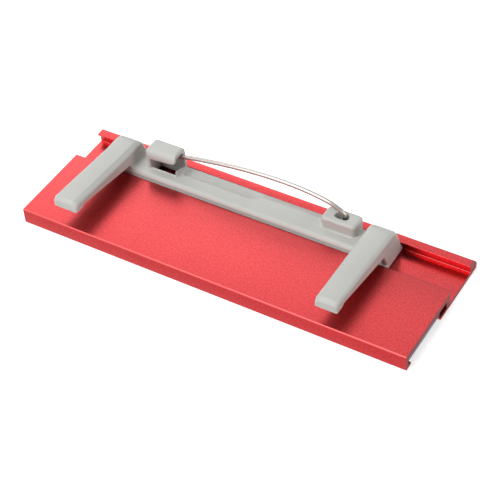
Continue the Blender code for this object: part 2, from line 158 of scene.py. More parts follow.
def noise(place, per_mm, detail=2.0, roughness=0.5):
    """Cloudy noise from 0 to 1 with so many features to the millimetre."""
    return place.node("ShaderNodeTexNoise", {},
                      {"Vector": place, "Scale": per_mm, "Detail": detail, "Roughness": roughness})


def dots(place, per_mm, sizes, rarity):
    """A mask of sparse dots: the cores of cells, kept only where a cloud is dense."""
    cells = place.node("ShaderNodeTexVoronoi", {}, {"Vector": place, "Scale": per_mm}, "Distance")
    return (1 - cells.above(*sizes)) * noise(place, THINNING_PER_MM).above(*rarity)


def bump(height, depth_mm, shader):
    """Raise the surface by a height from 0 to 1 times a depth."""
    relief = height.node("ShaderNodeBump", {},
                         {"Height": height, "Strength": 1.0, "Distance": depth_mm * MM})
    relief.feeds(shader, "Normal")


print("finish helpers ready")

# %% [markdown]
# ## Red anodised aluminium
#
# The extrusion is blasted to a fine satin, dyed red and sealed. Dye sits in a clear oxide skin, so the
# metal gives red reflections and the skin adds a thin pale haze on top. A metallic base with a rough
# coat does the same. Blasting hardly reaches into the channel, which stays smoother and glossier. A thin
# dark red line of painted shade runs along the sheet's rear edge, and the rounded front edge has a paler
# red as a painted highlight. The clear seal over the dye is worn thin on the front wall, where the badge
# is handled. A few grains of dust lie on it all.

# %% Red anodised finish
CHANNEL_Y = (3.2, 3.3)
# where the painted shade along the sheet's rear edge lies
REAR_SHADE_Y = (3.04, 3.14)
REAR_SHADE_Z = (2.9, 3.0)
# where the painted highlight along the rounded front edge lies
FRONT_HIGHLIGHT_Y = (-13.05, -12.95)
FRONT_HIGHLIGHT_Z = (2.85, 2.95)
FRONT_WALL_Y = (-13.19, -13.1)
DEEP_RED = (0.33, 0.009, 0.013)
PALE_RED = (0.53, 0.031, 0.034)
# the red of the painted shade along the rear edge
PAINTED_SHADE_RED = (0.16, 0.006, 0.010)
# the paler red of the painted highlight on the front edge
PAINTED_HIGHLIGHT_RED = (0.50, 0.055, 0.055)
DUST = (0.75, 0.70, 0.68)
BLAST_PER_MM = 3.4
BLAST_DEPTH = 0.0015
CLOUD_PER_MM = 0.09
GRAIN_TINT = 2.4
CLOUD_TINT = 0.3
TINT_SHIFT = 0.85
METAL_ROUGHNESS = 0.32
SKIN_ROUGHNESS = 0.32
GRAIN_ROUGHNESS = 0.06
DUST_ROUGHNESS = 0.3
CHANNEL_GLOSS = 0.08
WORN_SEAL = 0.15
FULL_SEAL = 0.6

red_anodised, shader, field = new_finish("red_anodised", Coat_Roughness=SKIN_ROUGHNESS)
place = millimetres(field)
grain = noise(place, BLAST_PER_MM, roughness=0.6)
cloud = noise(place, CLOUD_PER_MM)
across = axis_of(place, "Y")
channel = across.above(*CHANNEL_Y)
up = axis_of(place, "Z")
# painted shade: a thin dark red line along the sheet's rear edge
painted_shade_rear_edge = across.above(*REAR_SHADE_Y) * up.above(*REAR_SHADE_Z) * (1 - channel)
# painted highlight: a paler red along the rounded front edge
painted_highlight_front_edge = (1 - across.above(*FRONT_HIGHLIGHT_Y)) * up.above(*FRONT_HIGHLIGHT_Z)
dust = dots(place, 0.3, sizes=(0.012, 0.022), rarity=(0.50, 0.52))
tint = GRAIN_TINT * grain + CLOUD_TINT * cloud - TINT_SHIFT
# random dye tone, with painted shade on the rear edge and a painted highlight on the front edge
dye_and_painted_light = painted_shade_rear_edge.colours(tint.colours(DEEP_RED, PALE_RED), PAINTED_SHADE_RED)
dye_and_painted_light = painted_highlight_front_edge.colours(dye_and_painted_light, PAINTED_HIGHLIGHT_RED)
dust.colours(dye_and_painted_light, DUST).feeds(shader, "Base Color")
(1 - dust).feeds(shader, "Metallic")
satin = METAL_ROUGHNESS + GRAIN_ROUGHNESS * (grain - 0.5) - CHANNEL_GLOSS * channel
(satin + DUST_ROUGHNESS * dust).feeds(shader, "Roughness")
seal = WORN_SEAL + (FULL_SEAL - WORN_SEAL) * across.above(*FRONT_WALL_Y)
seal.feeds(shader, "Coat Weight")
bump(grain * (1 - 0.9 * channel), BLAST_DEPTH, shader)
print("red_anodised:", len(red_anodised.node_tree.nodes), "nodes")

# %% [markdown]
# ## Sawn ends
#
# The extrusion is sawn to length before it is dyed. The saw leaves fine ridges across the section, and
# the rough cut takes the dye as a dull brownish red. A stretched noise gives ridges that a regular wave
# would make too even.

# %% Sawn finish
SAWN_TONES = (0.17, 0.020, 0.022), (0.30, 0.055, 0.055)
RIDGE_STRETCH = (1.0, 0.35, 9.0)
RIDGE_DEPTH = 0.01

sawn_red, shader, field = new_finish("sawn_red", Metallic=0.7)
ridges = noise(millimetres(field, RIDGE_STRETCH), 1.6, detail=3.0, roughness=0.7)
ridges.colours(*SAWN_TONES).feeds(shader, "Base Color")
(0.52 + 0.2 * ridges).feeds(shader, "Roughness")
bump(ridges, RIDGE_DEPTH, shader)
print("sawn_red:", len(sawn_red.node_tree.nodes), "nodes")

# %% [markdown]
# ## Grey moulded plastic
#
# The fastener comes from a spark-eroded mould, which prints a fine matt grain on it. The two halves of
# the mould meet along the bar's front bead and leave a thin line there. The line is drawn in the finish,
# because a real one stands only a few hundredths of a millimetre proud. A few dark specks of scorched
# resin lie in the grey.

# %% Grey plastic finish
PARTING_Y = 3.78
PARTING_WIDTH = 0.07
BEAD_FOOT = (3.7, 3.8)
BEAD_CREST = (4.1, 4.2)
GREY_TONES = (0.50, 0.505, 0.475), (0.61, 0.615, 0.585)
MOULD_GRAIN_PER_MM = 5.0
MOULD_GRAIN_DEPTH = 0.004
FLOW_PER_MM = 0.16
PARTING_TONE = 0.6
SPECK_TONE = 3.0

grey_plastic, shader, field = new_finish("grey_plastic", Specular_IOR_Level=0.45)
place = millimetres(field)
mould_grain = noise(place, MOULD_GRAIN_PER_MM, roughness=0.6)
flow = noise(place, FLOW_PER_MM, detail=3.0)
height = axis_of(place, "Z")
on_bead = height.above(*BEAD_FOOT) * (1 - height.above(*BEAD_CREST))
parting = axis_of(place, "Y").near(PARTING_Y, PARTING_WIDTH) * on_bead
specks = dots(place, 0.16, sizes=(0.012, 0.020), rarity=(0.48, 0.50))
tone = 0.35 * mould_grain + 0.65 * flow - PARTING_TONE * parting - SPECK_TONE * specks
tone.colours(*GREY_TONES).feeds(shader, "Base Color")
(0.42 + 0.16 * (mould_grain - 0.5)).feeds(shader, "Roughness")
bump(mould_grain - 2.0 * parting, MOULD_GRAIN_DEPTH, shader)
print("grey_plastic:", len(grey_plastic.node_tree.nodes), "nodes")

# %% [markdown]
# ## Drawn steel wire
#
# The pin is spring steel pulled through a die, which leaves fine scratches along the wire. Noise that is
# long in X and short across gives the same streaks without unwrapping the wire. At its rims real wire
# mirrors the dark of a room. This room is all white, so a dark tint at grazing angles stands in for that.

# %% Steel finish
STEEL_TONES = (0.33, 0.315, 0.295), (0.43, 0.41, 0.385)
STEEL_RIM = (0.30, 0.27, 0.25, 1.0)
STREAK_STRETCH = (0.12, 6.0, 6.0)

bright_steel, shader, field = new_finish("bright_steel", Metallic=1.0, Specular_Tint=STEEL_RIM)
streaks = noise(millimetres(field, STREAK_STRETCH), 1.5, detail=3.0)
streaks.colours(*STEEL_TONES).feeds(shader, "Base Color")
(0.19 + 0.02 * streaks).feeds(shader, "Roughness")
print("bright_steel:", len(bright_steel.node_tree.nodes), "nodes")

# %% [markdown]
# ## Card and clear cover
#
# A paper card lies behind a clear sheet in the face's window. The card is bare, with the fibres and
# slight cloudiness of uncoated stock. The sheet is clear with a blue-grey tint, which shows at its sawn
# edge, and it has faint rubbing marks from sliding in and out.

# %% Card finishes
CARD_TONES = (0.66, 0.60, 0.52), (0.80, 0.76, 0.69)
# painted shade: dull dark browns for the card's cut edge
CARD_EDGE_SHADE_TONES = (0.24, 0.15, 0.11), (0.42, 0.30, 0.23)
CARD_SHINE = 0.2
FIBRE_STRETCH = (0.5, 3.0, 1.0)
FIBRE_DEPTH = 0.012
LAYER_STRETCH = (0.6, 0.6, 12.0)

plain_card, shader, field = new_finish("plain_card", Specular_IOR_Level=CARD_SHINE)
fibres = noise(millimetres(field, FIBRE_STRETCH), 1.4, detail=4.0, roughness=0.65)
pulp = noise(millimetres(field), 0.3, detail=3.0)
(0.5 * fibres + 0.5 * pulp).colours(*CARD_TONES).feeds(shader, "Base Color")
(0.75 + 0.2 * fibres).feeds(shader, "Roughness")
bump(fibres, FIBRE_DEPTH, shader)

# painted shade: the card's cut edge is coloured a dull dark brown
card_edge_painted_shade, shader, field = new_finish("card_edge_painted_shade", Specular_IOR_Level=CARD_SHINE)
layers = noise(millimetres(field, LAYER_STRETCH), 1.5)
layers.colours(*CARD_EDGE_SHADE_TONES).feeds(shader, "Base Color")
(0.8 + 0.1 * layers).feeds(shader, "Roughness")
print("card:", plain_card.name, "and", card_edge_painted_shade.name)

# %% Cover finishes
SHEET_TONES = (0.66, 0.74, 0.84), (0.78, 0.84, 0.91)
# the sheet's blue-grey tint, darkened by painted shade for its edge
SHEET_EDGE_TINT_AND_SHADE_TONES = (0.07, 0.085, 0.13), (0.16, 0.18, 0.25)
ACRYLIC_IOR = 1.49
RUB_STRETCH = (0.05, 2.5, 1.0)
CUT_STRETCH = (2.0, 2.0, 0.4)

clear_sheet, shader, field = new_finish("clear_sheet", Transmission_Weight=0.85, IOR=ACRYLIC_IOR)
rubs = noise(millimetres(field, RUB_STRETCH), 1.2, detail=4.0, roughness=0.7)
rubs.colours(*SHEET_TONES).feeds(shader, "Base Color")
(0.06 + 0.16 * rubs.above(0.5, 0.8)).feeds(shader, "Roughness")

# the edge keeps the sheet's blue-grey tint; its darkness is painted shade
sheet_edge_tint_and_shade, shader, field = new_finish("sheet_edge_tint_and_shade", Transmission_Weight=0.3, IOR=ACRYLIC_IOR)
cut_marks = noise(millimetres(field, CUT_STRETCH), 2.5, detail=3.0)
cut_marks.colours(*SHEET_EDGE_TINT_AND_SHADE_TONES).feeds(shader, "Base Color")
(0.25 + 0.2 * cut_marks).feeds(shader, "Roughness")
print("cover:", clear_sheet.name, "and", sheet_edge_tint_and_shade.name)

# %% [markdown]
# ## Outlines and sweeps
#
# The plate is an extrusion, and most of the moulding can be cut from swept outlines too. Outlines are
# typed as corners with a round each, in millimetres, because that is how a section is drawn. A sweep
# turns an outline into a closed mesh.

# %% Outline and sweep helpers
SWEEPS = {
    "X": Matrix(((0, 0, 1, 0), (1, 0, 0, 0), (0, 1, 0, 0), (0, 0, 0, 1))),
    "Y": Matrix(((1, 0, 0, 0), (0, 0, 1, 0), (0, 1, 0, 0), (0, 0, 0, 1))),
    "Z": Matrix.Identity(4),
}


def arc(centre, radius, start, end, steps):
    """Points along an arc, with the angles in degrees."""
    angles = [math.radians(start + (end - start) * step / steps) for step in range(steps + 1)]
    return [(centre[0] + radius * math.cos(a), centre[1] + radius * math.sin(a)) for a in angles]


def rounded(corners, steps=6):
    """Points of an outline whose corners are (across, up, round)."""
    points = []
    for index, (across, up, radius) in enumerate(corners):
        here = Vector((across, up))
        if not radius:
            points.append((across, up))
            continue
        before = (Vector(corners[index - 1][:2]) - here).normalized()
        after = (Vector(corners[(index + 1) % len(corners)][:2]) - here).normalized()
        half = before.angle(after) / 2
        centre = here + (before + after).normalized() * radius / math.sin(half)
        first = here + before * radius / math.tan(half) - centre
        last = here + after * radius / math.tan(half) - centre
        turn = math.degrees(math.atan2(first.x * last.y - first.y * last.x, first.dot(last)))
        start = math.degrees(math.atan2(first.y, first.x))
        points += arc(centre, radius, start, start + turn, steps)
    return points


def rectangle(across, up):
    """The corners of a rectangle between two places across and two up."""
    return [(across[0], up[0]), (across[1], up[0]), (across[1], up[1]), (across[0], up[1])]


def swept(points, start, end, axis="X"):
    """A closed bmesh: an outline in (y, z), (x, z) or (x, y) swept along an axis, with marked ends."""
    form = bmesh.new()
    rings = [[form.verts.new((*point, along)) for point in points] for along in (start, end)]
    for index, corner in enumerate(rings[0]):
        before = index - 1
        form.faces.new((rings[0][before], corner, rings[1][index], rings[1][before]))
    caps = [form.faces.new(ring) for ring in rings]
    for cap in caps:
        cap.material_index = 1
    bmesh.ops.transform(form, matrix=SWEEPS[axis], verts=form.verts)
    bmesh.ops.recalc_face_normals(form, faces=form.faces)
    return form


def cushioned(points, start, end, axis, rounds, steps=6):
    """A swept outline, drawn clockwise, whose rims are rounded by a radius for each point."""
    form = bmesh.new()
    count = len(points)
    inward = []
    for index in range(count):
        along = Vector(points[(index + 1) % count]) - Vector(points[index - 1])
        inward.append(Vector((along.y, -along.x)).normalized())
    turns = [math.radians(90.0 * step / steps) for step in range(steps + 1)]
    stations = [(start, 1.0, turn) for turn in turns]
    stations += [(end, -1.0, turn) for turn in reversed(turns)]
    rings = []
    for base, side, turn in stations:
        ring = []
        for point, normal, radius in zip(points, inward, rounds):
            spot = Vector(point) + normal * radius * (1 - math.sin(turn))
            ring.append(form.verts.new((*spot, base + side * radius * (1 - math.cos(turn)))))
        rings.append(ring)
    for low, high in zip(rings, rings[1:]):
        for index in range(count):
            form.faces.new((low[index - 1], low[index], high[index], high[index - 1]))
    form.faces.new(rings[0])
    form.faces.new(rings[-1])
    bmesh.ops.transform(form, matrix=SWEEPS[axis], verts=form.verts)
    bmesh.ops.recalc_face_normals(form, faces=form.faces)
    return form


def kept(form, name, *finishes):
    """Turn a bmesh into an object in the scene, still in millimetres."""
    mesh = bpy.data.meshes.new(name)
    form.to_mesh(mesh)
    form.free()
    for finish in finishes:
        mesh.materials.append(finish)
    piece = bpy.data.objects.new(name, mesh)
    bpy.context.scene.collection.objects.link(piece)
    return piece


def to_metres(piece, crease=35.0):
    """Scale a finished piece to metres and shade it smooth up to a crease angle."""
    piece.data.transform(Matrix.Scale(MM, 4))
    piece.data.shade_smooth()
    piece.data.set_sharp_from_angle(angle=math.radians(crease))
    return piece


print("sweeps along", ", ".join(SWEEPS))

# %% [markdown]
# ## The plate
#
# A die gives every corner of an extrusion a small round, and those rounds carry the bright lines that
# run along the badge. The solid has only the rounds of its front wall. The finer section adds the others:
# the slot's lips, the dovetail's lip, the rail's nose, and the fillets along the channel's floor.

# %% Plate
LENGTH = 75.0
FRONT = -13.2
TOP = 3.2
SLOT_Y = (-12.3, 1.55)
SLOT_TOP = 2.1
LIP_Y = (-11.45, -0.75)
LIP_TOP = 0.6
CHANNEL_FRONT = 2.70
CHANNEL_BACK = 10.65
CHANNEL_FLOOR = 0.8
RAIL_NOSE = 9.95
DIE_ROUND = 0.12
FRONT_TOP_ROUND = 0.22
FRONT_FOOT_ROUND = 0.3
FLOOR_FILLET = 0.18

face = [(FRONT, TOP, FRONT_TOP_ROUND), (FRONT, 0.0, FRONT_FOOT_ROUND)]
slot = [(LIP_Y[0], 0.0), (LIP_Y[0], LIP_TOP), (SLOT_Y[0], LIP_TOP), (SLOT_Y[0], SLOT_TOP),
        (SLOT_Y[1], SLOT_TOP), (SLOT_Y[1], LIP_TOP), (LIP_Y[1], LIP_TOP), (LIP_Y[1], 0.0)]
face += [(y, z, DIE_ROUND) for y, z in slot]
rail = [(12.85, 0.0, DIE_ROUND), (13.2, 0.85, 0.3), (12.42, 2.02, 2.5), (11.45, 3.0, 0.15),
        (RAIL_NOSE, 2.85, 0.1), (RAIL_NOSE, 2.6, 0.1), (CHANNEL_BACK, 2.0, DIE_ROUND)]
dovetail = [(CHANNEL_BACK, CHANNEL_FLOOR, FLOOR_FILLET), (CHANNEL_FRONT, CHANNEL_FLOOR, FLOOR_FILLET),
            (CHANNEL_FRONT, TOP - 0.95, DIE_ROUND), (3.27, TOP, 0.06)]
section = rounded(face + rail + dovetail)
plate = to_metres(kept(swept(section, -LENGTH / 2, LENGTH / 2), "plate", red_anodised, sawn_red))
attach(plate, "badge")
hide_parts("badge_profile")
print("plate:", len(plate.data.polygons), "faces")

# %% [markdown]
# ## The fastener
#
# Bar, posts, clip arms, hood and socket are one moulding, so every inside corner has a small fillet. The
# forms are swept, joined and cut here as sharp solids. A voxel remesh then melts them into one skin and
# a smoothing pass softens it. Bevelling the sharp edges one by one would break at the hood's corners.

# %% Bar
LEFT = -30.4
RIGHT = 25.1
ARM_WIDTH = 4.7
FOOT_Y = (2.9, 10.45)
FOOT_BOTTOM = 1.0
FOOT_SHOULDER = 2.25
BAR_FRONT = 3.47
BAR_TOP = 4.2
BEAD_ROUND = 0.9
NECK = 9.75
NECK_TOP = 3.0
IN_POST = 1.0

foot_front = [(FOOT_Y[0], FOOT_BOTTOM, 0), (FOOT_Y[0], FOOT_SHOULDER, 0)]
foot_back = [(NECK, 2.6, 0), (FOOT_Y[1], 2.0, 0), (FOOT_Y[1], FOOT_BOTTOM, 0)]
bar = [(BAR_FRONT + 0.1, TOP, 0), (BAR_FRONT, TOP + 0.1, 0), (BAR_FRONT, BAR_TOP, BEAD_ROUND),
       (7.72, BAR_TOP, 0.3), (NECK, NECK_TOP, 0)]
section = rounded(foot_front + bar + foot_back, steps=8)
moulding = kept(swept(section, LEFT + IN_POST, RIGHT - IN_POST), "moulding")
print("bar from", LEFT, "to", RIGHT)

# %% Cutting and joining
PAST = 0.6
forms = []


def shaped(piece, form, operation):
    """Join another closed form to a piece, cut it out, or trim the piece to it."""
    other = kept(form, "form")
    forms.append(other)
    change = piece.modifiers.new(operation.lower(), "BOOLEAN")
    change.operation = operation
    change.solver = "EXACT"
    change.object = other
    return other


def joined(form):
    """Join a form to the moulding."""
    return shaped(moulding, form, "UNION")


def cut(form):
    """Cut a form out of the moulding."""
    shaped(moulding, form, "DIFFERENCE")


print("forms reach", PAST, "mm past what they cut")

# %% [markdown]
# ### The catch hood
#
# The hood is a hollow cap that guards the pin's point. A core through the bar's underside forms its
# pocket and leaves it without a floor, so it looks dark below. A window under its front lip lets the pin
# out, a thin rib closes the foot of its mouth, and a thin edge of flash stands along the window's sill.
# Its open end leans in towards the top. Under the bar the core hole widens to the left and to the back.
# Three outlines make the cap, from the end, the front and above: a sweep of the first is trimmed to the
# other two.

# %% Catch hood
HOOD_LEFT = -23.5
HOOD_RIGHT = -16.8
HOOD_FRONT = 5.24
HOOD_BACK = 9.04
HOOD_TOP = 8.35
CLOSED_END = 0.8
BACK_CORNER = (0.9, 1.5)
LIP = (6.35, 6.75)
LIP_CORNER = 1.2
CAP_CORNER = 0.6
CAP_END = HOOD_RIGHT - 0.15
CAP_BOTTOM = 2.6
CAP_LEAN = 0.6
CAP_DRAFT = 0.1
CAP_FRONT_ROUND = 1.6
CAP_BACK_ROUND = 0.8
CAP_LEFT_ROUND = 0.7
CAP_RIGHT_ROUND = 0.6
RIB = 0.42
RIB_TOP = 5.4
MOUTH = HOOD_RIGHT - RIB

cap_end = [(HOOD_FRONT, CAP_BOTTOM, 0), (HOOD_BACK, CAP_BOTTOM, 0),
           (HOOD_BACK, HOOD_TOP, CAP_BACK_ROUND), (HOOD_FRONT, HOOD_TOP, CAP_FRONT_ROUND)]
cap_front = [(HOOD_LEFT, TOP, 0), (HOOD_RIGHT, TOP, 0), (HOOD_RIGHT - CAP_LEAN, HOOD_TOP, CAP_RIGHT_ROUND),
             (HOOD_LEFT + CAP_DRAFT, HOOD_TOP, CAP_LEFT_ROUND)]
cap_plan = [(HOOD_LEFT, HOOD_FRONT, CLOSED_END), (HOOD_RIGHT, HOOD_FRONT, 0),
            (HOOD_RIGHT, HOOD_BACK, BACK_CORNER[0]), (HOOD_LEFT, HOOD_BACK, BACK_CORNER[1])]
hood = joined(swept(rounded(cap_end, steps=12), HOOD_LEFT - PAST, HOOD_RIGHT + PAST))
shaped(hood, swept(rounded(cap_front, steps=10), HOOD_FRONT - PAST, HOOD_BACK + PAST, "Y"), "INTERSECT")
shaped(hood, swept(rounded(cap_plan, steps=10), TOP - PAST, HOOD_TOP + PAST, "Z"), "INTERSECT")
print("hood from", HOOD_LEFT, "to", HOOD_RIGHT)

# %% Window and open end
WINDOW_LEFT = HOOD_LEFT + 1.05
WINDOW_BACK = 6.29

lip_corner = arc((CAP_END - LIP_CORNER, LIP[1] + LIP_CORNER), LIP_CORNER, 0.0, -90.0, steps=10)
window = [(WINDOW_LEFT, BAR_TOP), (MOUTH, BAR_TOP), (MOUTH, RIB_TOP), (HOOD_RIGHT + PAST, RIB_TOP),
          (HOOD_RIGHT + PAST, LIP[1] + LIP_CORNER), *lip_corner, (WINDOW_LEFT, LIP[0])]
cut(swept(window, HOOD_FRONT - PAST, WINDOW_BACK, "Y"))
cap_corner = arc((CAP_END - CAP_CORNER, HOOD_FRONT + CAP_CORNER), CAP_CORNER, -90.0, 0.0, steps=10)
outside = [(HOOD_RIGHT + PAST, HOOD_FRONT + CAP_CORNER), (HOOD_RIGHT + PAST, HOOD_FRONT - PAST),
           (CAP_END - CAP_CORNER, HOOD_FRONT - PAST)]
cut(swept(cap_corner + outside, RIB_TOP + 0.2, HOOD_TOP + PAST, "Z"))
print("window from", round(WINDOW_LEFT, 2), "to", round(MOUTH, 2))

# %% Pocket, mouth and core hole
POCKET_Y = (5.99, 8.3)
POCKET_TOP = 7.5
POCKET_ROUND = 0.4
POCKET_BOTTOM = BAR_TOP - 0.3
HOLE_X = (WINDOW_LEFT, MOUTH - 0.2)
HOLE_Y = (HOOD_FRONT + 0.35, POCKET_Y[1])
HOLE_BOTTOM = 0.4
UNDERCUT_LEFT = HOLE_X[0] - 0.9
UNDERCUT_BACK = 9.5
UNDERCUT_TOP = 2.5
FLASH_WIDTH = 0.22
FLASH_RISE = 0.2

roof = [(POCKET_Y[1], POCKET_TOP, POCKET_ROUND), (POCKET_Y[0], POCKET_TOP, POCKET_ROUND)]
pocket = [(POCKET_Y[0], POCKET_BOTTOM, 0), (POCKET_Y[1], POCKET_BOTTOM, 0), *roof]
cut(swept(rounded(pocket), WINDOW_LEFT, MOUTH))
mouth = [(POCKET_Y[0], RIB_TOP, 0), (POCKET_Y[1], BAR_TOP + 0.2, 0), *roof]
cut(swept(rounded(mouth), MOUTH - RIB, HOOD_RIGHT + PAST))
cut(swept(rectangle(HOLE_X, HOLE_Y), HOLE_BOTTOM, BAR_TOP, "Z"))
undercut = rectangle((HOLE_Y[0], UNDERCUT_BACK), (HOLE_BOTTOM, UNDERCUT_TOP))
cut(swept(undercut, UNDERCUT_LEFT, HOLE_X[1]))
flash = [(HOLE_Y[0] - FLASH_WIDTH, BAR_TOP - FLASH_RISE), (HOLE_Y[0], BAR_TOP - FLASH_RISE),
         (HOLE_Y[0], BAR_TOP + FLASH_RISE)]
joined(swept(flash, WINDOW_LEFT, MOUTH))
print("pocket up to", POCKET_TOP, "over a hole from", round(HOLE_X[0], 2), "to", round(HOLE_X[1], 2))

# %% [markdown]
# ### Socket and hollow back
#
# The socket is a block with an oval hole, longer than the wire needs, so that the wire can be bent in
# place. Under the pin the back of the bar is hollowed by a round-ended groove, which leaves room for
# cloth. One turned rod cuts it, end and all.

# %% Socket
SOCKET_X = (11.6, 18.2)
SOCKET_Y = (5.89, 9.44)
SOCKET_TOP = 6.45
SOCKET_ROUND = 0.7
SOCKET_RIM = 0.8 * SOCKET_ROUND
PIN_X = 15.45
PIN_Y = 7.77
OVAL_ROUND = 0.75
OVAL_LENGTH = 1.1
OVAL_DEPTH = 2.0

plan = rounded([(x, y, SOCKET_ROUND) for y, x in rectangle(SOCKET_Y, SOCKET_X)])
joined(cushioned(plan, TOP - PAST, SOCKET_TOP, "Z", [SOCKET_RIM] * len(plan)))
oval = arc((PIN_X, PIN_Y), OVAL_ROUND, -90.0, 90.0, steps=12)
oval += arc((PIN_X - OVAL_LENGTH, PIN_Y), OVAL_ROUND, 90.0, 270.0, steps=12)
cut(swept(oval, SOCKET_TOP - OVAL_DEPTH, SOCKET_TOP + PAST, "Z"))
print("socket from", SOCKET_X[0], "to", SOCKET_X[1])

# %% Groove
GROOVE_RADIUS = 5.2
GROOVE_START = HOOD_RIGHT + 0.3
GROOVE_LENGTH = 16.4
GROOVE_FRONT = BAR_FRONT + 2.95


def groove_rod(start, length, radius, centre):
    """A rod along X with one round end. Where it meets the bar's top, it has the length given."""
    form = bmesh.new()
    reach = math.sqrt(radius ** 2 - (centre[1] - BAR_TOP) ** 2)
    round_end = arc((start + length - reach, 0.0), radius, 90.0, 0.0, steps=24)
    profile = [(start, 0.0), (start, radius), *round_end]
    ring = [form.verts.new((along, out, 0.0)) for along, out in profile]
    edges = [form.edges.new(pair) for pair in zip(ring, ring[1:])]
    bmesh.ops.spin(form, geom=ring + edges, cent=(0, 0, 0), axis=(1, 0, 0), angle=2 * math.pi,
                   steps=96, use_merge=True)
    bmesh.ops.remove_doubles(form, verts=form.verts, dist=0.001)
    bmesh.ops.recalc_face_normals(form, faces=form.faces)
    bmesh.ops.translate(form, verts=form.verts, vec=(0.0, *centre))
    return form


groove_front = Vector((GROOVE_FRONT, BAR_TOP))
groove_back = Vector((NECK, NECK_TOP))
chord = groove_back - groove_front
rise = math.sqrt(GROOVE_RADIUS ** 2 - (chord.length / 2) ** 2)
rod_centre = (groove_front + groove_back) / 2 + Vector((-chord.y, chord.x)).normalized() * rise
cut(groove_rod(GROOVE_START, GROOVE_LENGTH, GROOVE_RADIUS, rod_centre))
print("rod centre", tuple(round(v, 2) for v in rod_centre))

# %% [markdown]
# ### Posts and clip arms
#
# Each post rises from the bar's end, bends forward and runs out into a clip arm, which thins towards its
# nose. Post and arm are one outline, swept across the arm's width. The mould gives the arm a slightly
# crowned back, so the rims on top are rounder than those below, and a low ledge along its inner edge.

# %% Side outline
POST_TOP = 7.9
ARM_REACH = 16.0
TIP = BAR_FRONT - ARM_REACH
NOSE_BOTTOM = 6.25

under = [(4.49, FOOT_SHOULDER, 0), (BAR_FRONT, 4.8, 0.1), (TIP + 2.3, 6.65, 0.4),
         (TIP + 1.9, NOSE_BOTTOM, 0.2)]
nose = [(TIP, NOSE_BOTTOM, 0.15), (TIP, POST_TOP - 0.15, 0.3), (TIP + 0.65, POST_TOP + 0.5, 0.4)]
bend = [(BAR_FRONT, POST_TOP, 6.0), (BAR_FRONT + 4.2, POST_TOP, 2.6), (NECK, 3.35, 0)]
side = rounded(foot_front + under + nose + bend + foot_back)
print("side outline of", len(side), "points, reaching to", TIP)

# %% Rounds along the rims
UNDER_ROUND = 0.2
NOSE_ROUND = 0.5
TOP_ROUND = 0.8
BACK_ROUND = 0.6
NOSE_END = TIP + 0.7
NOSE_RISE = (6.2, 6.6)
NOSE_TO_TOP = (TIP + 0.6, TIP + 3.0)
TOP_TO_BACK = (BAR_FRONT + 1.0, BAR_FRONT + 4.0)
POST_BACK = BAR_FRONT + 3.0
FACING_UP = (-0.1, 0.6)


def share_between(value, low, high):
    """How far a value is from low to high, from 0 to 1."""
    return min(1.0, max(0.0, (value - low) / (high - low)))


def rim_round(index):
    """The rim's radius at a point of the side outline: large on top, small below."""
    along = Vector(side[(index + 1) % len(side)]) - Vector(side[index - 1])
    upward = along.normalized().x
    y, z = side[index]
    crown = NOSE_ROUND + (TOP_ROUND - NOSE_ROUND) * share_between(y, *NOSE_TO_TOP)
    crown += (BACK_ROUND - crown) * share_between(y, *TOP_TO_BACK)
    on_top = share_between(upward, *FACING_UP)
    if y > POST_BACK and z > TOP:
        on_top = 1.0
    if y < NOSE_END:
        on_top = max(on_top, share_between(z, *NOSE_RISE))
    return UNDER_ROUND + (crown - UNDER_ROUND) * on_top


rim_rounds = [rim_round(index) for index in range(len(side))]
print("rims of", min(rim_rounds), "to", round(max(rim_rounds), 2))

# %% Posts and clip arms
CROWN = 0.25
LEDGE = 0.16
LEDGE_WIDTH = 0.75
LEDGE_SLOPE = 0.15
ARM_BACK = (7.0, 7.6)
ARM_CUTS = 24
LEFT_NOSE = (LEFT - 0.2, 4.85, 0.25)
RIGHT_NOSE = (RIGHT - 0.15, 4.2, 0.0)


def clip(outer, inward, tip_outer, tip_width, tip_lift):
    """One post with its arm, whose nose has its own place, width and lift."""
    form = cushioned(side, *sorted((outer, outer + inward * ARM_WIDTH)), "X", rim_rounds)
    crossing = [edge for edge in form.edges
                if abs(edge.verts[0].co.x - edge.verts[1].co.x) > ARM_WIDTH / 2]
    bmesh.ops.subdivide_edges(form, edges=crossing, cuts=ARM_CUTS, use_grid_fill=True)
    ledge_start = ARM_WIDTH - LEDGE_WIDTH
    for vertex in form.verts:
        across = (vertex.co.x - outer) * inward
        reach = share_between(-vertex.co.y, -BAR_FRONT, -TIP)
        drop = CROWN * (2 * across / ARM_WIDTH - 1) ** 2
        drop += LEDGE * share_between(across, ledge_start, ledge_start + LEDGE_SLOPE)
        vertex.co.z += tip_lift * reach - drop * share_between(vertex.co.z, *ARM_BACK)
        width = ARM_WIDTH + (tip_width - ARM_WIDTH) * reach
        vertex.co.x = outer + (tip_outer - outer) * reach + inward * across * width / ARM_WIDTH
    return form


clips = [kept(clip(LEFT, 1.0, *LEFT_NOSE), "form"), kept(clip(RIGHT, -1.0, *RIGHT_NOSE), "form")]
print("noses", LEFT_NOSE[1], "and", RIGHT_NOSE[1], "mm wide")

# %% [markdown]
# ### One skin, three pieces
#
# The arms bend at their posts, so the skin is cut into a middle and two clips. The cuts lie where the
# bar's section runs straight, so no seam shows, and each clip bends smoothly from its post into its arm.

# %% Melt the moulding
VOXEL = 0.09
SOFTENING = 0.5
SOFTENING_PASSES = 4


def evaluated(piece):
    """A copy of a piece's mesh with its modifiers applied."""
    graph = bpy.context.evaluated_depsgraph_get()
    return bpy.data.meshes.new_from_object(piece.evaluated_get(graph))


